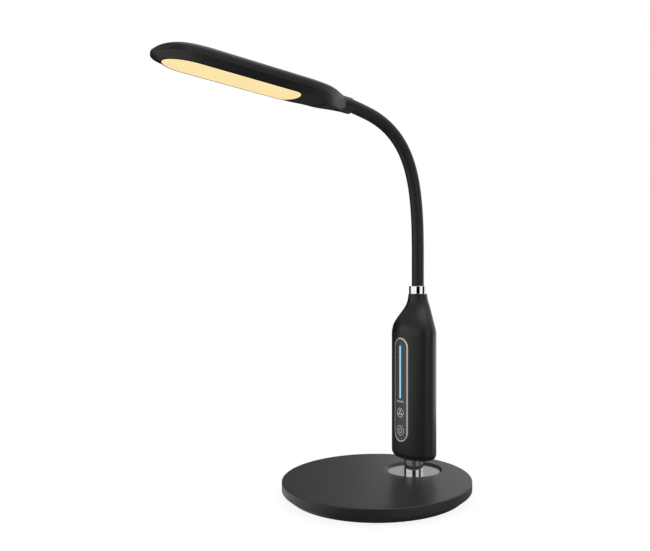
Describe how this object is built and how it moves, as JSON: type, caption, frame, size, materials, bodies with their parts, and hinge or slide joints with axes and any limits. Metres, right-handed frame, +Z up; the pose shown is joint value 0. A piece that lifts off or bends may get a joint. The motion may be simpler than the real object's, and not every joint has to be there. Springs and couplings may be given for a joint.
{
  "type": "gooseneck desk lamp",
  "caption": "Desk lamp: weighted round base, oval touch-control column on a chrome post, flexible neck bending at many places, and a slim domed LED head with a long flat light window.",
  "frame": {"origin": "middle of the base's underside, on the tabletop", "axes": "+Z up, -Y forward (the head reaches and the touch panel faces that way), X across"},
  "size_m": [0.18, 0.3094, 0.3841],
  "materials": {
    "soft_foot": "matt",
    "black_plastic": "fine satin",
    "iron": "rough",
    "steel": "zinc plated",
    "chrome": "mirror bright",
    "brass": "plain",
    "black_rubber": "matt",
    "white_plastic": "plain",
    "board_green": "solder mask",
    "parts_mixed": "moulded parts",
    "satin_silver": "satin silver",
    "panel_gloss": "gloss",
    "bar_blue": "lit",
    "diffuser": "milky, lit",
    "spreader": "clear plate",
    "chip_yellow": "phosphor",
    "aluminium": "rolled sheet",
    "red_lead": "insulation"
  },
  "bodies": {
    "stand": {"base_pad": "soft_foot", "base_bottom_cover": "black_plastic", "base_weight": "iron", "base_top_cover": "black_plastic", "base_screws": "steel", "recess_disc": "chrome", "post": "chrome", "post_screws": "steel", "post_nut": "steel", "inlet_jack": "black_plastic", "inlet_pin": "brass", "power_lead": "black_rubber", "column_bottom_cap": "black_plastic", "column_sleeve": "black_plastic", "column_shoulder": "black_plastic", "column_screws": "steel", "board_carrier": "white_plastic", "driver_board": "board_green", "driver_parts": "parts_mixed", "touch_board": "board_green", "board_screws": "steel", "panel_trim": "satin_silver", "panel_lens": "panel_gloss", "slider_light_bar": "bar_blue", "neck_ferrule": "brass", "ferrule_nut": "steel", "neck_ring": "chrome", "neck_stretch_0": "black_rubber"},
    "neck_1": {"neck_stretch_1": "black_rubber"},
    "neck_2": {"neck_stretch_2": "black_rubber"},
    "neck_3": {"neck_stretch_3": "black_rubber"},
    "neck_4": {"neck_stretch_4": "black_rubber"},
    "neck_5": {"neck_stretch_5": "black_rubber"},
    "neck_6": {"neck_stretch_6": "black_rubber"},
    "neck_7": {"neck_stretch_7": "black_rubber"},
    "neck_8": {"neck_stretch_8": "black_rubber"},
    "neck_9": {"neck_stretch_9": "black_rubber"},
    "head": {"neck_stretch_10": "black_rubber", "head_top_shell": "black_plastic", "head_bottom_frame": "black_plastic", "light_diffuser": "diffuser", "light_spreader": "spreader", "led_board": "white_plastic", "led_chips": "chip_yellow", "heat_plate": "aluminium", "head_screws": "steel", "collar_screw": "steel", "head_lead": "red_lead"}
  },
  "joints": [
    {"name": "neck_bend_1", "type": "hinge", "parent": "stand", "child": "neck_1", "pos_m": [0, 0.0528, 0.209], "axis": [1, 0, 0], "range_deg": [-22, 10]},
    {"name": "neck_sway_2", "type": "hinge", "parent": "neck_1", "child": "neck_2", "pos_m": [0, 0.0528, 0.229], "axis": [0, 1, 0], "range_deg": [-22, 22]},
    {"name": "neck_bend_3", "type": "hinge", "parent": "neck_2", "child": "neck_3", "pos_m": [0, 0.05254, 0.249], "axis": [1, 0, 0], "range_deg": [-22, 10]},
    {"name": "neck_bend_4", "type": "hinge", "parent": "neck_3", "child": "neck_4", "pos_m": [0, 0.05149, 0.26897], "axis": [1, 0, 0], "range_deg": [-22, 10]},
    {"name": "neck_sway_5", "type": "hinge", "parent": "neck_4", "child": "neck_5", "pos_m": [0, 0.04906, 0.28881], "axis": [0, 0.9863, 0.165], "range_deg": [-22, 22]},
    {"name": "neck_bend_6", "type": "hinge", "parent": "neck_5", "child": "neck_6", "pos_m": [0, 0.04439, 0.30824], "axis": [1, 0, 0], "range_deg": [-22, 10]},
    {"name": "neck_bend_7", "type": "hinge", "parent": "neck_6", "child": "neck_7", "pos_m": [0, 0.03627, 0.32648], "axis": [1, 0, 0], "range_deg": [-22, 10]},
    {"name": "neck_sway_8", "type": "hinge", "parent": "neck_7", "child": "neck_8", "pos_m": [0, 0.02377, 0.342], "axis": [0, 0.6794, 0.7337], "range_deg": [-22, 22]},
    {"name": "neck_bend_9", "type": "hinge", "parent": "neck_8", "child": "neck_9", "pos_m": [0, 0.00736, 0.35331], "axis": [1, 0, 0], "range_deg": [-22, 10]},
    {"name": "neck_bend_10", "type": "hinge", "parent": "neck_9", "child": "head", "pos_m": [0, -0.01139, 0.36014], "axis": [1, 0, 0], "range_deg": [-22, 10]}
  ]
}
